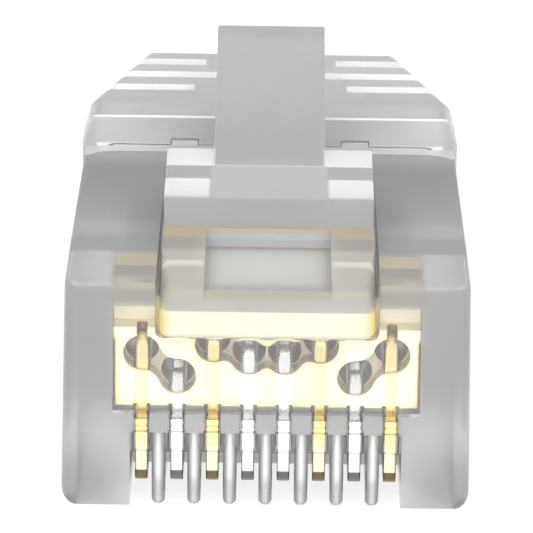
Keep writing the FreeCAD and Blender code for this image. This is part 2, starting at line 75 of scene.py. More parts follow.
# Width in millimetres of the marks that the plastic's flow leaves, in the clear pieces and the loading block
FLOW_MARK = 3.5
BLOCK_FLOW_MARK = 2.2

# Refractive indices
POLYCARBONATE = 1.585
ELASTOMER = 1.53


def linear(hex_colour):
    """sRGB hex to a linear RGBA colour."""
    channels = []
    for i in (1, 3, 5):
        c = int(hex_colour[i:i + 2], 16) / 255
        channels.append(c / 12.92 if c <= 0.04045 else ((c + 0.055) / 1.055) ** 2.4)
    return (*channels, 1.0)


def node(tree, kind, *inputs, **more):
    """Adds a node. Its open sockets take the inputs in order. A lower-case keyword is a property of the node,
    and a capitalised one is a socket. A socket takes a value, a socket, or a node for its first output."""
    made = tree.nodes.new(kind)
    properties = [name for name in more if name.islower()]
    for name in properties:
        setattr(made, name, more.pop(name))
    fed = list(zip([socket for socket in made.inputs if socket.enabled], inputs))
    fed += [(made.inputs[name.replace("_", " ")], value) for name, value in more.items()]
    for socket, value in fed:
        if isinstance(value, bpy.types.Node):
            value = next(output for output in value.outputs if output.enabled)
        if isinstance(value, bpy.types.NodeSocket):
            tree.links.new(value, socket)
        else:
            socket.default_value = value
    return made


SMOOTH = {"interpolation_type": "SMOOTHSTEP"}     # for a Map Range node whose ends are eased


def new_material(name):
    """An empty material and its node tree."""
    material = bpy.data.materials.new(name)
    material.use_nodes = True
    material.node_tree.nodes.clear()
    return material, material.node_tree


def clouds(tree, place, size, detail=2.0, stretch=(1, 1, 1)):
    """Soft noise whose features are about size millimetres, longer along an axis where stretch is below 1."""
    drawn_out = node(tree, "ShaderNodeMapping", Vector=place, Scale=stretch)
    return node(tree, "ShaderNodeTexNoise", Vector=drawn_out, Scale=1 / (size * MM), Detail=detail,
                Roughness=0.55)


def nose_box(across, along, up):
    """Two corners in the frame, in millimetres, from spans measured on the plug."""
    return (across[0], NOSE + along[0], up[0]), (across[1], NOSE + along[1], up[1])


def zone(across, along, up, colour, soft):
    """A place with painted light or shade of its own, which fades in over twice the soft millimetres."""
    return nose_box(across, along, up), colour, soft


def in_zone(tree, place, box, soft):
    """1 inside a box, 0 outside it. The box is given for one side of the plug and mirrored to the other."""
    axes = node(tree, "ShaderNodeSeparateXYZ", place)
    inside = 1.0
    for axis, start, end in zip("XYZ", *box):
        at = axes.outputs[axis]
        if axis == "X":
            at = node(tree, "ShaderNodeMath", at, operation="ABSOLUTE")
        middle, reach, fade = (start + end) / 2 * MM, (end - start) / 2 * MM, soft * MM
        offset = node(tree, "ShaderNodeMath", at, middle, operation="SUBTRACT")
        away = node(tree, "ShaderNodeMath", offset, operation="ABSOLUTE")
        edge = node(tree, "ShaderNodeMapRange", away, reach + fade, reach - fade, 0.0, 1.0, **SMOOTH)
        inside = node(tree, "ShaderNodeMath", edge, inside, operation="MULTIPLY")
    return inside


def shaded_in(tree, place, shade, zones):
    """The shade with each zone's painted light or shade laid over it."""
    for box, colour, soft in zones:
        inside = in_zone(tree, place, box, soft)
        shade = node(tree, "ShaderNodeMix", inside, shade, linear(colour), data_type="RGBA")
    return shade


# The comb between the contacts, and the distances from a rib's middle over which painted shade darkens its
# crown and flank
COMB = nose_box((MIDDLE, LATCH_SIDE), (-0.3, 3.5), (-0.3, 2.18))
RIB_CROWN = (0.03 * MM, 0.11 * MM)
RIB_FLANK = (0.12 * MM, 0.19 * MM)

# The tops of the two pads beside the latch, where the mould is etched deeper and which get painted shade
PAD_TOPS = ((MIDDLE, 6), (2.75, 13.2), (6.66, 6.9))


def painted_rib_light(tree, place):
    """Painted light on a rib, a rod of clear plastic: a painted highlight down its thick middle and painted
    shade where its sides turn away.
    """
    across = node(tree, "ShaderNodeSeparateXYZ", place).outputs["X"]
    from_middle = node(tree, "ShaderNodeMath", across, PITCH / 2 * MM, operation="PINGPONG")
    crown = node(tree, "ShaderNodeMapRange", from_middle, *RIB_CROWN, 0.0, 1.0, **SMOOTH)
    flank = node(tree, "ShaderNodeMapRange", from_middle, *RIB_FLANK, 0.0, 1.0, **SMOOTH)
    shade = node(tree, "ShaderNodeMix", crown, linear("#CECECE"), linear("#A2A3A3"), data_type="RGBA")
    return node(tree, "ShaderNodeMix", flank, shade, linear("#8A8B8C"), data_type="RGBA")


def clear_plastic(name, light, dark, ior, roughness, clarity, tint, grain=0.12, relief=0.004, zones=(),
                  comb=None, coarse=None):
    """Moulded clear plastic. Clarity is the share of light that goes through it. The mould's texture scatters
    the rest, so it looks like frosted glass that greys what is behind it. Each zone's colour is painted light
    and shade: painted highlights, painted shadows and painted bands for what would show through there. The
    real grain is about 0.03 mm and is drawn coarser so that it shows. Ribs in the comb's box are glossier and
    get painted light and shade. The coarse box is etched deeper."""
    material, tree = new_material(name)
    place = node(tree, "ShaderNodeTexCoord").outputs["Object"]
    # Flow marks, drawn out along the way that the plastic ran
    flow = clouds(tree, place, FLOW_MARK, 2.0, (1, 0.4, 1))
    flow = node(tree, "ShaderNodeMapRange", flow, 0.3, 0.7, 0.0, 1.0, **SMOOTH)
    shade = node(tree, "ShaderNodeMix", flow, linear(light), linear(dark), data_type="RGBA")
    # Painted light and shade of each zone
    shade = shaded_in(tree, place, shade, zones)
    fine = clouds(tree, place, grain, 1.0)
    matt = node(tree, "ShaderNodeMapRange", fine, 0.25, 0.75, roughness * 0.9, roughness * 1.1, **SMOOTH)
    if coarse:
        etched = in_zone(tree, place, coarse, 0.05)
        etched = node(tree, "ShaderNodeMapRange", etched, 0.0, 1.0, 0.0, 0.3, **SMOOTH)
        matt = node(tree, "ShaderNodeMath", matt, etched, operation="ADD")
    # Painted highlight and shade on the comb's ribs, which are also glossier
    if comb:
        ribs = in_zone(tree, place, comb, 0.03)
        shade = node(tree, "ShaderNodeMix", ribs, shade, painted_rib_light(tree, place), data_type="RGBA")
        glossier = node(tree, "ShaderNodeMapRange", ribs, 0.0, 1.0, 1.0, 0.65, **SMOOTH)
        matt = node(tree, "ShaderNodeMath", matt, glossier, operation="MULTIPLY")
    bumps = node(tree, "ShaderNodeBump", Height=fine, Strength=0.35, Distance=relief * MM)
    shader = node(tree, "ShaderNodeBsdfPrincipled", Base_Color=shade, Roughness=matt, IOR=ior,
                  Transmission_Weight=clarity, Normal=bumps)
    volume = node(tree, "ShaderNodeVolumeAbsorption", Color=linear(tint), Density=8)
    node(tree, "ShaderNodeOutputMaterial", Surface=shader, Volume=volume)
    return material


def edge_glow(tree, reach):
    """0 on flat faces, up to 1 at edges, within a reach in millimetres."""
    rounded = node(tree, "ShaderNodeBevel", Radius=reach * MM, samples=4)
    flat = node(tree, "ShaderNodeNewGeometry").outputs["Normal"]
    same = node(tree, "ShaderNodeVectorMath", rounded, flat, operation="DOT_PRODUCT")
    return node(tree, "ShaderNodeMapRange", same, 0.995, 0.85, 0.0, 1.0, **SMOOTH)


# The loading block's front: the wires' holes and the vents in its upper step, which get painted shade, the
# heights
# # between which its edges lose their painted glow at that step, and the distances from the middle between
# which the latch's painted shadow falls on it
WIRE_HOLES = nose_box((0, 4.1), (1.32, 3.8), (2.9, 5.05))
VENTS = nose_box((3.40, 3.715), (1.27, 1.92), (4.5, 5.075))
STEP_FOOT = (4.95 * MM, 4.85 * MM)
LATCH_SHADE = (4.0 * MM, 1.5 * MM)
CAST_WIDTH = 0.40           # of the painted light that a contact throws on the block behind it


def loading_block_plastic(name):
    """Moulded translucent plastic, pale yellow. Its edges get a painted glow, deeper in colour than its
    faces, for the light that gathers in them, each contact's painted light falls on the face behind it, and
    the holes, the vents and the latch's shadow are painted shade."""
    material, tree = new_material(name)
    place = node(tree, "ShaderNodeTexCoord").outputs["Object"]
    flow = clouds(tree, place, BLOCK_FLOW_MARK)
    flow = node(tree, "ShaderNodeMapRange", flow, 0.3, 0.7, 0.0, 1.0, **SMOOTH)
    face = node(tree, "ShaderNodeMix", flow, linear("#FFF8DA"), linear("#FFF5CC"), data_type="RGBA")
    # Painted shade in the wires' holes and in the vents
    face = shaded_in(tree, place, face, [(WIRE_HOLES, "#C2B69C", 0.03), (VENTS, "#8A4E12", 0.005)])

    axes = node(tree, "ShaderNodeSeparateXYZ", place)
    # Painted shadow of the latch across the middle of the face
    across = node(tree, "ShaderNodeMath", axes.outputs["X"], operation="ABSOLUTE")
    middle = node(tree, "ShaderNodeMapRange", across, *LATCH_SHADE, 0.0, 1.0, **SMOOTH)
    shaded = node(tree, "ShaderNodeMix", 1.0, face, linear("#EEEAE2"), data_type="RGBA",
                  blend_type="MULTIPLY")
    face = node(tree, "ShaderNodeMix", middle, face, shaded, data_type="RGBA")
    # Painted light that each contact throws on the face behind it
    casts = []
    for number in range(1, 5):
        x = (4.5 - number) * PITCH
        colour = "#FFF0A6" if number in GOLD else "#FFFFFF"
        casts.append(zone((x - CAST_WIDTH / 2, x + CAST_WIDTH / 2), (-0.1, 1.30), (2.4, 4.4), colour, 0.07))
    face = shaded_in(tree, place, face, casts)

    # Painted glow in the edges, except in the holes
    in_holes = in_zone(tree, place, WIRE_HOLES, 0.03)
    outside_holes = node(tree, "ShaderNodeMath", 1.0, in_holes, operation="SUBTRACT")
    below_step = node(tree, "ShaderNodeMapRange", axes.outputs["Z"], *STEP_FOOT, 0.0, 0.6, **SMOOTH)
    wide_edge = node(tree, "ShaderNodeMath", edge_glow(tree, 0.18), below_step, operation="MULTIPLY")
    wide_edge = node(tree, "ShaderNodeMath", wide_edge, outside_holes, operation="MULTIPLY")
    thin_edge = node(tree, "ShaderNodeMath", edge_glow(tree, 0.06), outside_holes, operation="MULTIPLY")
    colour = node(tree, "ShaderNodeMix", wide_edge, face, linear("#FFE682"), data_type="RGBA")
    colour = node(tree, "ShaderNodeMix", thin_edge, colour, linear("#E8BE45"), data_type="RGBA")

    fine = clouds(tree, place, 0.10, 1.0)
    matt = node(tree, "ShaderNodeMapRange", fine, 0.25, 0.75, 0.28, 0.36, **SMOOTH)
    bumps = node(tree, "ShaderNodeBump", Height=fine, Strength=0.3, Distance=0.003 * MM)
    shader = node(tree, "ShaderNodeBsdfPrincipled", Base_Color=colour, Roughness=matt, IOR=POLYCARBONATE,
                  Normal=bumps)
    node(tree, "ShaderNodeOutputMaterial", Surface=shader)
    return material


# Heights between which a contact's painted light changes: painted shade under the window over the loading
# block, a painted
# # reflection of the floor below the top of the face that springs wipe, and painted shade below the top of
# its round nose
UNDER_WINDOW = (2.85 * MM, 2.70 * MM)
FLOOR_SHEEN_TOP = (1.62 * MM, 1.57 * MM)
FOOT_NOSE = 0.41 * MM       # radius of the nose
FOOT_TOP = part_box("contact_2")[0].z + FOOT_NOSE
# Painted shade on the foot's round nose, which mirrors the dark under the plug, starts here
FOOT_SHADE_TOP = (FOOT_TOP + 0.02 * MM, FOOT_TOP - 0.02 * MM)


def plated(name, bright, deep, low, floor_sheen, foot):
    """Plated spring bronze, sheared from strip: fine streaks along the cut, drawn 0.05 mm wide so that they
    show, painted shade under the window, a paler lower face that is a painted reflection of the white floor,
    and a darker nose on each foot, painted shade for the dark under the plug that it mirrors."""
    material, tree = new_material(name)
    place = node(tree, "ShaderNodeTexCoord").outputs["Object"]
    streaks = clouds(tree, place, 0.05, 1.0, (1, 1, 0.08))
    shear = node(tree, "ShaderNodeMapRange", streaks, 0.35, 0.65, 0.0, 1.0, **SMOOTH)
    colour = node(tree, "ShaderNodeMix", shear, linear(bright), linear(deep), data_type="RGBA")
    height = node(tree, "ShaderNodeSeparateXYZ", place).outputs["Z"]
    for heights, shade in ((UNDER_WINDOW, low), (FLOOR_SHEEN_TOP, floor_sheen), (FOOT_SHADE_TOP, foot)):
        below = node(tree, "ShaderNodeMapRange", height, *heights, 0.0, 1.0, **SMOOTH)
        colour = node(tree, "ShaderNodeMix", below, colour, linear(shade), data_type="RGBA")
    matt = node(tree, "ShaderNodeMapRange", streaks, 0.3, 0.7, 0.22, 0.32, **SMOOTH)
    shader = node(tree, "ShaderNodeBsdfPrincipled", Base_Color=colour, Roughness=matt, Metallic=1.0)
    node(tree, "ShaderNodeOutputMaterial", Surface=shader)
    return material


# Polished places of the housing: both faces of the wall before the loading block, and the web at each contact
WINDOW_DEPTH = 0.03         # before and behind a face
WEB_HALF = 0.25             # half the width of the polished web
HOUSING_WINDOWS = []
for y in (0.0, FRONT_WALL):
    along = (y - WINDOW_DEPTH, y + WINDOW_DEPTH)
    HOUSING_WINDOWS.append(nose_box((-BLOCK_SIDE, BLOCK_SIDE), along, (2.77, 5.97)))
for i in range(8):
    x = (i - 3.5) * PITCH
    HOUSING_WINDOWS.append(nose_box((x - WEB_HALF, x + WEB_HALF), (-WINDOW_DEPTH, 1.50), (1.45, 2.79)))

# Painted light and shade on the housing, zone by zone
HOUSING_ZONES = [
    # Pads: painted shade on their tops, painted light on their back corners and a painted lighter band across
    # them
    zone(*PAD_TOPS, "#A8A8A9", 0.03),
    zone((MIDDLE, 6), (12.0, 13.3), (6.0, 7.6), "#C0C0C1", 0.8),
    zone((MIDDLE, 6), (4.5, 5.7), (6.2, 7.4), "#B2B2B3", 0.4),
    # Painted light on the neck under the boot and on its snap nibs, where the gaps would show dark lines
    zone((MIDDLE, 5.9), (13.05, 16.6), (6.56, 6.7), "#FFFFFF", 0.02),
    zone((MIDDLE, 5.9), (14.05, 15.2), (6.6, 6.95), "#FFFFFF", 0.02),
    # Latch channel: painted light on its side walls, then painted yellow light from the block on its sides
    # and floor over the front wall
    zone((3.12, 3.26), (0.2, 14), (5.9, 6.62), "#F0F0F0", 0.01),
    zone((3.0, LATCH_SIDE), (0.02, 1.18), (4.9, 6.0), "#FFF8DC", 0.01),
    zone((MIDDLE, LATCH_SIDE), (0.02, 1.18), (4.9, 5.08), "#FFF8DC", 0.01),
    # Top and front over the loading block: painted bands in place of its steps showing through
    zone((3.0, BLOCK_SIDE), (1.55, 2.55), (6.6, 6.9), "#C8BA9F", 0.04),
    zone((3.0, BLOCK_SIDE), (0.75, 1.55), (6.6, 6.9), "#A09C94", 0.04),
    zone((3.0, BLOCK_SIDE), (-0.1, 0.75), (6.4, 6.9), "#AEA89C", 0.04),
    zone((3.0, 4.45), (-0.1, 0.3), (5.98, 6.45), "#A39F98", 0.12),
    # Painted shade on the front outer corners of the pads and on the foot of each side
    zone((4.3, 6), (2.75, 4.2), (6.66, 6.9), "#9A9A9B", 0.3),
    zone((4.2, 7), (-0.5, 14), (-0.5, 1.6), "#7C7D7F", 0.9),
]
# Painted light and shade on the latch
LATCH_ZONES = [
    # Painted light on the side walls of the root and the strip
    zone((3.04, LATCH_SIDE), (-0.6, 4.3), (5.0, 7.0), "#ECECEC", 0.005),
    # Wedge: painted highlights on its back and front corners, lighter painted light on its middle, a painted
    # highlight on the line where the tab starts, and painted shade on its front face
    zone((1.62, LATCH_SIDE), (6.85, 8.30), (7.9, 8.4), "#FFFFFF", 0.04),
    zone((1.72, LATCH_SIDE), (4.30, 5.80), (7.9, 8.4), "#FFFFFF", 0.08),
    zone((MIDDLE, 1.70), (4.28, 6.88), (7.9, 8.3), "#C4C4C3", 0.04),
    zone((MIDDLE, 1.64), (6.86, 6.92), (8.0, 8.3), "#E6E6E6", 0.04),
    zone((MIDDLE, LATCH_SIDE), (4.00, 4.265), (7.13, 7.94), "#A2A2A2", 0.015),
    # Painted tan light on the crest before the wedge, from the block under it
    zone((MIDDLE, LATCH_SIDE), (3.3, 4.14), (6.97, 7.13), "#C6B99C", 0.04),
    # Painted light and shade on the strip beside its pocket, from back to front
    zone((POCKET_SIDE, LATCH_SIDE), (2.45, 3.25), (6.3, 7.1), "#ABA69E", 0.15),
    zone((POCKET_SIDE, LATCH_SIDE), (1.80, 2.45), (6.3, 7.1), "#C6C1B6", 0.15),
    zone((POCKET_SIDE, LATCH_SIDE), (1.45, 1.75), (6.3, 7.1), "#E8E4DC", 0.10),
    zone((POCKET_SIDE, LATCH_SIDE), (0.3, 1.45), (6.0, 7.1), "#BFBBB3", 0.15),
    # Pocket: painted shade on its floor with painted light towards the back, then painted light on its back
    # wall and painted shade in the corner between them
    zone((MIDDLE, POCKET_SIDE), (0.2, 3.3), (6.0, 6.95), "#AFABA3", 0.15),
    zone((MIDDLE, POCKET_SIDE), (1.0, 3.3), (6.1, 6.95), "#D9D9D5", 0.5),
    zone((MIDDLE, POCKET_SIDE), (3.44, 3.95), (6.5, 6.965), "#C2C4C6", 0.01),
    zone((MIDDLE, POCKET_SIDE), (3.28, 3.44), (6.5, 6.9), "#A8A298", 0.06),
    # Root: painted yellow light from the block behind it, most at its ends
    zone((MIDDLE, LATCH_SIDE), (-0.5, 1.3), (5.0, 5.90), "#F2EDDA", 0.02),
    zone((2.85, 3.4), (-0.5, 1.3), (4.9, 5.90), "#F7DF86", 0.20),
]
BOOT_ZONES = [
    # Painted light on the inner face over the neck and on the snap openings' walls, and a painted highlight
    # on the rim's upper edge
    zone((MIDDLE, 5.4), (14.0, 16.6), (6.5, 6.72), "#FFFFFF", 0.03),
    zone((2.15, 3.15), (14.12, 14.9), (6.5, 7.0), "#FFFFFF", 0.02),
    zone((MIDDLE, 7), (14.0, 14.17), (7.55, 7.7), "#FFFFFF", 0.01),
]
# Painted light on the walls of the boot's slots, for the light they catch. A spine along the middle parts the
# slots of the two sides
FIRST_SLOT = 17.85
SLOT_PITCH = 1.90
SLOT_REACH = 0.44           # from a slot's middle to just past its walls
SPINE_WIDTHS = (4.90, 2.80, 4.26)
for i, spine in enumerate(SPINE_WIDTHS):
    y = FIRST_SLOT + i * SLOT_PITCH
    along = (y - SLOT_REACH, y + SLOT_REACH)
    BOOT_ZONES.append(zone((spine / 2 - 0.02, 6), along, (-0.1, 8), "#FFFFFF", 0.02))

# Injection moulded in a spark eroded mould: clear plastic with a frosted grey look
textured = clear_plastic(
    "clear polycarbonate, spark textured", "#ABABAA", "#A6A6A5", POLYCARBONATE, roughness=0.32, clarity=0.55,
    tint="#C0C4C8", zones=HOUSING_ZONES, comb=COMB, coarse=nose_box(*PAD_TOPS))
# The same on the latch, painted lighter because thin plastic looks lighter
latch_plastic = clear_plastic(
    "clear polycarbonate, textured latch", "#B4B4B4", "#B0B0B0", POLYCARBONATE, roughness=0.32, clarity=0.55,
    tint="#C0C4C8", zones=LATCH_ZONES)
# The polished places of the mould are windows: what is behind them stays sharp
polished = clear_plastic(
    "clear polycarbonate, polished", "#FFFFFF", "#F9FAFB", POLYCARBONATE, roughness=0.02, clarity=1.0,
    tint="#C0C4C8", grain=1.2, relief=0.0004)
# Moulded rubbery plastic: milkier and a little more matt than the plug
elastomer = clear_plastic(
    "clear elastomer, moulded", "#C2C3C3", "#BDBEBE", ELASTOMER, roughness=0.34, clarity=0.55,
    tint="#C8CACC", zones=BOOT_ZONES)
yellow_plastic = loading_block_plastic("pale yellow polycarbonate, moulded")
# Thin gold over bronze is a pale yellow, nickel over bronze is nearly white
# Besides each plating's own colour: painted shade below the window, a painted floor reflection on the lower
# face and painted shade on the foot
gold = plated(
    "gold plated phosphor bronze, stamped",
    bright="#FFF0B4", deep="#FFE594", low="#FFE080", floor_sheen="#FFF6CE", foot="#72654A")
nickel = plated(
    "nickel plated phosphor bronze, stamped",
    bright="#FFFFFC", deep="#F6F5F1", low="#FAFAF8", floor_sheen="#FBFBFA", foot="#706E6B")

# Metres within which corners of the CAD mesh are one, and within which a corner lies on a cut
WELD = 2e-7
ON_CUT = 1e-8
# Edges that turn more than this stay crisp
CREASE = math.radians(35)
BLADE_CREASE = math.radians(40)


def cut_windows(form, windows):
    """Cuts a mesh along the sides of each window's box and gives the faces inside it the second material."""
    for corners in windows:
        for corner in corners:
            on_plane = Vector(corner) * MM
            for axis in range(3):
                normal = [float(axis == i) for i in range(3)]
                whole = form.verts[:] + form.edges[:] + form.faces[:]
                bmesh.ops.bisect_plane(form, geom=whole, dist=ON_CUT, plane_co=on_plane, plane_no=normal)
    for face in form.faces:
        spot = face.calc_center_median() / MM
        for low, high in windows:
            if all(a <= b <= c for a, b, c in zip(low, spot, high)):
                face.material_index = 1


def dressed(node_name, piece_name, finish, window_finish=None, windows=()):
    """A merged copy of a CAD node with smooth rounds and crisp edges, and another finish in its windows."""
    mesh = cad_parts[node_name].data.copy()
    mesh.name = piece_name
    mesh.materials.clear()
    for material in (finish, window_finish) if windows else (finish,):
        mesh.materials.append(material)
    form = bmesh.new()
    form.from_mesh(mesh)
    bmesh.ops.remove_doubles(form, verts=form.verts, dist=WELD)
    cut_windows(form, windows)
    for face in form.faces:
        face.smooth = True
    for edge in form.edges:
        if len(edge.link_faces) == 2 and edge.calc_face_angle(0) > CREASE:
            edge.smooth = False
    form.to_mesh(mesh)
    form.free()
    for name in [a.name for a in mesh.attributes if a.name.startswith("custom_normal")]:
        mesh.attributes.remove(mesh.attributes[name])
    piece = bpy.data.objects.new(piece_name, mesh)
    SCENE.collection.objects.link(piece)
    return piece


for source, name, finish, windows, slot in (
    ("plug_housing", "housing_body", textured, HOUSING_WINDOWS, "clear_polycarbonate"),
    ("strain_relief_boot", "boot", elastomer, (), "clear_elastomer"),
    ("wire_manager", "loading_block", yellow_plastic, (), "yellow_polycarbonate"),
):
    piece = dressed(source, name, finish, polished, windows)
    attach(piece, "plug_body")
    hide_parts(source)

# The latch bends in its root strip, so its mesh follows the body there and the latch behind it
latch = dressed("latch_lever", "latch", latch_plastic)
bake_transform(latch, "plug_body", "latch", (0, -0.0106, 0.0055), (0, -0.0085, 0.0055))
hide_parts("latch_lever")

# Contacts: one stamped outline, which Geometry Nodes place and draw up to each blade's height
HEEL = 0.60 * MM            # bevel at the back of the foot
NOTCH = 0.75 * MM           # depth between the two tines that pierce a wire
TINES = 2
TINE_TIP = (0.28, 0.62)     # where a tine's flat tip starts and ends, as shares of its width
ROLL = 0.05 * MM            # the die rolls the sheet's edges over
ROLL_STEPS = 3
LOWER_ROLL = 0.4            # share of that roll below the loading block
LONGEST_MITRE = 2           # times the roll, at a sharp corner
WAIST_DROP = 0.18 * MM      # from the loading block down to where the blade gets narrower
TINE_SETBACK = 0.21 * MM    # from the loading block's face to the front tine
FOOT_STEPS = 8
TURN = -1.0                 # the outline runs clockwise, seen from +X
BLADE_WELD = 1e-7           # metres within which corners of a blade are one


def blade_outline():
    """Points of the blade's side view, made for the lowest blade of the frame, with the height of its tip and
    its thickness. Each point has its y and z, whether it follows the tip, and its share of the roll."""
    low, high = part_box("contact_2")
    block_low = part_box("wire_manager")[0]
    waist = block_low.z - WAIST_DROP
    tine_front = block_low.y + TINE_SETBACK
    points = []
    for i in range(FOOT_STEPS + 1):
        turn = math.radians(90 * i / FOOT_STEPS)
        y = low.y + FOOT_NOSE * (1 - math.sin(turn))
        z = low.z + FOOT_NOSE * (1 - math.cos(turn))
        points.append((y, z, 0, LOWER_ROLL))
    points += [(low.y, waist, 0, LOWER_ROLL), (tine_front, waist, 0, LOWER_ROLL)]
    points.append((tine_front, high.z - NOTCH / 2, 1, 1))
    step = (high.y - tine_front) / TINES
    for tine in range(TINES):
        start = tine_front + tine * step
        if tine:
            points.append((start, high.z - NOTCH, 1, 1))
        points += [(start + step * share, high.z, 1, 1) for share in TINE_TIP]
    points.append((high.y, high.z - NOTCH / 2, 1, 1))
    points += [(high.y, low.z + HEEL, 0, LOWER_ROLL), (high.y - HEEL, low.z, 0, LOWER_ROLL)]
    return points, high.z, high.x - low.x


def blade_face():
    """The outline as one face in the middle plane, with the inward direction of each corner kept on it."""
    points, tip, thickness = blade_outline()
    mesh = bpy.data.meshes.new("blade outline")
    mesh.from_pydata([(0, y, z) for y, z, _, _ in points], [], [range(len(points))])
    follows = mesh.attributes.new("follows tip", "FLOAT", "POINT")
    inward = mesh.attributes.new("inward", "FLOAT_VECTOR", "POINT")
    for i, (y, z, moves, share) in enumerate(points):
        before, after = points[i - 1], points[(i + 1) % len(points)]
        a = Vector((y - before[0], z - before[1])).normalized()
        b = Vector((after[0] - y, after[1] - z)).normalized()
        bisector = (a + b).normalized()
        mitre = share / max(bisector.dot(b), 1 / LONGEST_MITRE)
        follows.data[i].value = moves
        inward.data[i].vector = (0, -bisector.y * mitre * TURN, bisector.x * mitre * TURN)
    outline = bpy.data.objects.new("blade outline", mesh)
    SCENE.collection.objects.link(outline)
    return outline, tip, thickness


def moved(tree, geometry, sideways, inset, top=True):
    """Geometry moved across by a length and in from its outline by a length: all of it, or only a new top."""
    inward = node(tree, "GeometryNodeInputNamedAttribute", Name="inward", data_type="FLOAT_VECTOR")
    drawn_in = node(tree, "ShaderNodeVectorMath", inward, inset, operation="SCALE")
    across = node(tree, "ShaderNodeCombineXYZ", X=sideways)
    offset = node(tree, "ShaderNodeVectorMath", drawn_in, across, operation="ADD")
    return node(tree, "GeometryNodeSetPosition", Geometry=geometry, Selection=top, Offset=offset).outputs[0]


def blade_tree():
    """Blades at the points of a mesh: each is drawn up to its tip, then gets a thickness and rolled edges."""
    tree = bpy.data.node_groups.new("stamped blades", "GeometryNodeTree")
    face = tree.interface
    face.new_socket("Geometry", in_out="INPUT", socket_type="NodeSocketGeometry")
    for name, kind in (
        ("Outline", "NodeSocketObject"), ("Outline Tip", "NodeSocketFloat"), ("Thickness", "NodeSocketFloat"),
        ("Roll", "NodeSocketFloat"), ("Finish", "NodeSocketMaterial"),
    ):
        face.new_socket(name, in_out="INPUT", socket_type=kind)
    face.new_socket("Geometry", in_out="OUTPUT", socket_type="NodeSocketGeometry")
    given = node(tree, "NodeGroupInput").outputs

    outline = node(tree, "GeometryNodeObjectInfo", Object=given["Outline"]).outputs["Geometry"]
    placed = node(tree, "GeometryNodeInstanceOnPoints", Points=given["Geometry"], Instance=outline)
    flat = node(tree, "GeometryNodeRealizeInstances", Geometry=placed)
    tip = node(tree, "GeometryNodeInputNamedAttribute", Name="tip", data_type="FLOAT")
    follows = node(tree, "GeometryNodeInputNamedAttribute", Name="follows tip", data_type="FLOAT")
    rise = node(tree, "ShaderNodeMath", tip, given["Outline Tip"], operation="SUBTRACT")
    rise = node(tree, "ShaderNodeMath", rise, follows, operation="MULTIPLY")
    up = node(tree, "ShaderNodeCombineXYZ", Z=rise)
    flat = node(tree, "GeometryNodeSetPosition", Geometry=flat, Offset=up)

    # The sheet is pushed across in steps: a quarter round, the straight part, and a quarter round back
    steps = [math.radians(90 * i / ROLL_STEPS) for i in range(ROLL_STEPS + 1)]
    quarter = [(1 - math.cos(a), 1 - math.sin(a)) for a in steps]
    path = quarter[1:] + [None] + [(1 - a, i) for a, i in reversed(quarter[:-1])]
    half_sheet = node(tree, "ShaderNodeMath", given["Thickness"], 0.5, operation="MULTIPLY")
    to_side = node(tree, "ShaderNodeMath", half_sheet, -1.0, operation="MULTIPLY")
    start = moved(tree, flat, to_side, given["Roll"])
    back = node(tree, "GeometryNodeFlipFaces", Mesh=start)
    straight = node(tree, "ShaderNodeMath", given["Roll"], -2.0, given["Thickness"], operation="MULTIPLY_ADD")
    solid, top = start, True
    across, inset = 0.0, 1.0
    for stop in path:
        push = node(tree, "GeometryNodeExtrudeMesh", Mesh=solid, Selection=top, Offset_Scale=0.0,
                    Individual=False, mode="FACES")
        top = push.outputs["Top"]
        if stop is None:
            solid = moved(tree, push, straight, 0.0, top)
            across = 0.0
        else:
            sideways = node(tree, "ShaderNodeMath", given["Roll"], stop[0] - across, operation="MULTIPLY")
            inwards = node(tree, "ShaderNodeMath", given["Roll"], stop[1] - inset, operation="MULTIPLY")
            solid = moved(tree, push, sideways, inwards, top)
            across, inset = stop
    whole = node(tree, "GeometryNodeJoinGeometry", Geometry=solid)
    tree.links.new(back.outputs[0], whole.inputs[0])
    whole = node(tree, "GeometryNodeMergeByDistance", Geometry=whole, Distance=BLADE_WELD)
    whole = node(tree, "GeometryNodeRealizeInstances", Geometry=whole)
    whole = node(tree, "GeometryNodeSetMaterial", Geometry=whole, Material=given["Finish"])
    node(tree, "NodeGroupOutput", Geometry=whole)
    return tree


def contact_set(name, numbers, finish, tree, outline, outline_tip, thickness):
    """The contacts of one plating as a plain mesh."""
    points = bpy.data.meshes.new(name)
    boxes = [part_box("contact_%d" % number) for number in numbers]
    points.from_pydata([((low.x + high.x) / 2, 0, 0) for low, high in boxes], [], [])
    tips = points.attributes.new("tip", "FLOAT", "POINT")
    for i, (low, high) in enumerate(boxes):
        tips.data[i].value = high.z
    maker = bpy.data.objects.new(name, points)
    SCENE.collection.objects.link(maker)
    modifier = maker.modifiers.new("stamped blades", "NODES")
    modifier.node_group = tree
    given = {"Outline": outline, "Outline Tip": outline_tip, "Thickness": thickness, "Roll": ROLL,
             "Finish": finish}
    for socket in tree.interface.items_tree:
        if socket.in_out == "INPUT" and socket.name in given:
            modifier[socket.identifier] = given[socket.name]
    bpy.context.view_layer.update()
    mesh = bpy.data.meshes.new_from_object(maker.evaluated_get(bpy.context.evaluated_depsgraph_get()))
    maker.modifiers.clear()
    form = bmesh.new()
    form.from_mesh(mesh)
    bmesh.ops.recalc_face_normals(form, faces=form.faces)
    for face in form.faces:
        face.smooth = len(face.verts) == 4
    for edge in form.edges:
        edge.smooth = len(edge.link_faces) == 2 and edge.calc_face_angle(0) < BLADE_CREASE
    form.to_mesh(mesh)
    form.free()
    maker.data = mesh
    mesh.name = name
    return maker


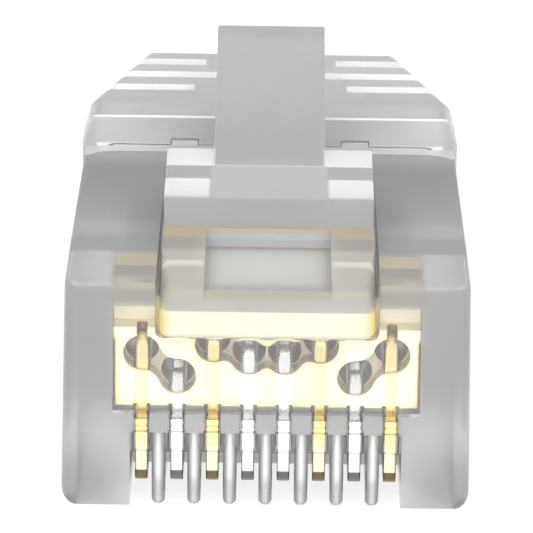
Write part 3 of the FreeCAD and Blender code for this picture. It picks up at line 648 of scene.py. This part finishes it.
outline, outline_tip, blade_thickness = blade_face()
blades = blade_tree()
for name, numbers, finish, slot in (
    ("gold_contacts", GOLD, gold, "gold_plated_bronze"),
    ("nickel_contacts", NICKEL, nickel, "nickel_plated_bronze"),
):
    piece = contact_set(name, numbers, finish, blades, outline, outline_tip, blade_thickness)
    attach(piece, "plug_body")
    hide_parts(*["contact_%d" % number for number in numbers])
bpy.data.objects.remove(outline)


# Strengths of light: the paper's own, what the plug mirrors of it, and what metal behind the clear wall
# mirrors besides, because the wall takes some of it away
PAPER_GLOW = 0.86
PAPER_SHINE = 1.35
WALL_LOSS = 1.5


def white_paper():
    """Paper lit from all sides: white to the camera but for a faint shadow, and a light panel to whatever
    mirrors it or lets it through."""
    material, tree = new_material("white paper")
    rays = node(tree, "ShaderNodeLightPath").outputs
    paper = node(tree, "ShaderNodeBsdfDiffuse", Color=linear("#F4F4F4"))
    dimmed = node(tree, "ShaderNodeBsdfDiffuse", Color=linear("#707070"))
    glow = node(tree, "ShaderNodeEmission", Strength=PAPER_GLOW)
    shown = node(tree, "ShaderNodeAddShader", dimmed, glow)
    seen = node(tree, "ShaderNodeMixShader", rays["Is Camera Ray"], paper, shown)

    mirrored = node(tree, "ShaderNodeMath", rays["Glossy Depth"], 0.5, operation="GREATER_THAN")
    behind_wall = node(tree, "ShaderNodeMath", mirrored, rays["Is Transmission Ray"], operation="MULTIPLY")
    shine = node(tree, "ShaderNodeMapRange", mirrored, 0.0, 1.0, 1.0, PAPER_SHINE, **SMOOTH)
    lost = node(tree, "ShaderNodeMath", behind_wall, WALL_LOSS, operation="MULTIPLY")
    shine = node(tree, "ShaderNodeMath", shine, lost, operation="ADD")
    panel = node(tree, "ShaderNodeEmission", Strength=shine)
    glossy, through = rays["Is Glossy Ray"], rays["Is Transmission Ray"]
    shown_panel = node(tree, "ShaderNodeMath", glossy, through, operation="MAXIMUM")
    unscattered = node(tree, "ShaderNodeMath", rays["Diffuse Depth"], 0.5, operation="LESS_THAN")
    shown_panel = node(tree, "ShaderNodeMath", shown_panel, unscattered, operation="MULTIPLY")
    lit = node(tree, "ShaderNodeMixShader", shown_panel, seen, panel)
    node(tree, "ShaderNodeOutputMaterial", Surface=lit)
    return material


HALF_FLOOR = 3.0            # metres
corners = [(x * HALF_FLOOR, y * HALF_FLOOR, 0) for x, y in ((-1, -1), (1, -1), (1, 1), (-1, 1))]
floor_mesh = bpy.data.meshes.new("floor")
floor_mesh.from_pydata(corners, [], [(0, 1, 2, 3)])
floor_mesh.materials.append(white_paper())
floor = bpy.data.objects.new("floor", floor_mesh)
SCENE.collection.objects.link(floor)


# Light from behind and from the front, how much stronger it is where it is scattered inside the clear pieces,
# whose texture takes some of it away, the most of it that a clear face mirrors, and no limit for other rays
BACK_LIGHT = 0.8
FRONT_LIGHT = 3.2
SCATTER_GAIN = 2.0
MIRRORED_LIGHT = 1.4
UNLIMITED = 9.0


def studio_light():
    """White all round and stronger from the front. To the camera, and through the plug, it is plain white."""
    world = bpy.data.worlds.new("studio")
    world.use_nodes = True
    tree = world.node_tree
    tree.nodes.clear()
    direction = node(tree, "ShaderNodeTexCoord").outputs["Generated"]
    towards = node(tree, "ShaderNodeSeparateXYZ", direction).outputs["Y"]
    front = node(tree, "ShaderNodeMapRange", towards, 0.2, -0.8, BACK_LIGHT, FRONT_LIGHT, **SMOOTH)
    rays = node(tree, "ShaderNodeLightPath").outputs
    unscattered = node(tree, "ShaderNodeMath", rays["Diffuse Depth"], 0.5, operation="LESS_THAN")
    scattered = node(tree, "ShaderNodeMath", 1.0, unscattered, operation="SUBTRACT")
    scattered = node(tree, "ShaderNodeMath", rays["Is Transmission Ray"], scattered, operation="MULTIPLY")
    gain = node(tree, "ShaderNodeMapRange", scattered, 0.0, 1.0, 1.0, SCATTER_GAIN, **SMOOTH)
    front = node(tree, "ShaderNodeMath", front, gain, operation="MULTIPLY")
    sheen = node(tree, "ShaderNodeMath", rays["Is Glossy Ray"], unscattered, operation="MULTIPLY")
    limit = node(tree, "ShaderNodeMapRange", sheen, 0.0, 1.0, UNLIMITED, MIRRORED_LIGHT, **SMOOTH)
    front = node(tree, "ShaderNodeMath", front, limit, operation="MINIMUM")
    camera, through = rays["Is Camera Ray"], rays["Is Transmission Ray"]
    plain = node(tree, "ShaderNodeMath", camera, through, operation="MAXIMUM")
    plain = node(tree, "ShaderNodeMath", plain, unscattered, operation="MULTIPLY")
    strength = node(tree, "ShaderNodeMix", plain, front, 1.0, data_type="FLOAT")
    air = node(tree, "ShaderNodeBackground", Color=linear("#FFFFFF"), Strength=strength)
    node(tree, "ShaderNodeOutputWorld", Surface=air)
    return world


SCENE.world = studio_light()

# Camera: its place, lean and turn are fitted to the plug's own corners
SENSOR_WIDTH = 36
FOCAL_LENGTH = 294.67
CAMERA_PLACE = Vector((0.0513 * MM, -128.277 * MM, 44.187 * MM))
ELEVATION, YAW, CAMERA_ROLL = (math.radians(angle) for angle in (17.577, -0.0464, 0.765))


def photo_camera():
    data = bpy.data.cameras.new("camera")
    data.sensor_width = SENSOR_WIDTH
    data.lens = FOCAL_LENGTH
    data.clip_start = 0.01
    data.clip_end = 10
    camera = bpy.data.objects.new("camera", data)
    SCENE.collection.objects.link(camera)
    level = math.cos(ELEVATION)
    ahead = Vector((math.sin(YAW) * level, math.cos(YAW) * level, -math.sin(ELEVATION)))
    right = Vector((math.cos(YAW), -math.sin(YAW), 0))
    up = right.cross(ahead)
    turned_right = right * math.cos(CAMERA_ROLL) + up * math.sin(CAMERA_ROLL)
    turned_up = up * math.cos(CAMERA_ROLL) - right * math.sin(CAMERA_ROLL)
    axes = Matrix((turned_right, turned_up, -ahead)).transposed()
    camera.matrix_world = Matrix.Translation(CAMERA_PLACE) @ axes.to_4x4()
    return camera


SCENE.camera = photo_camera()

SCENE.view_settings.view_transform = "Standard"
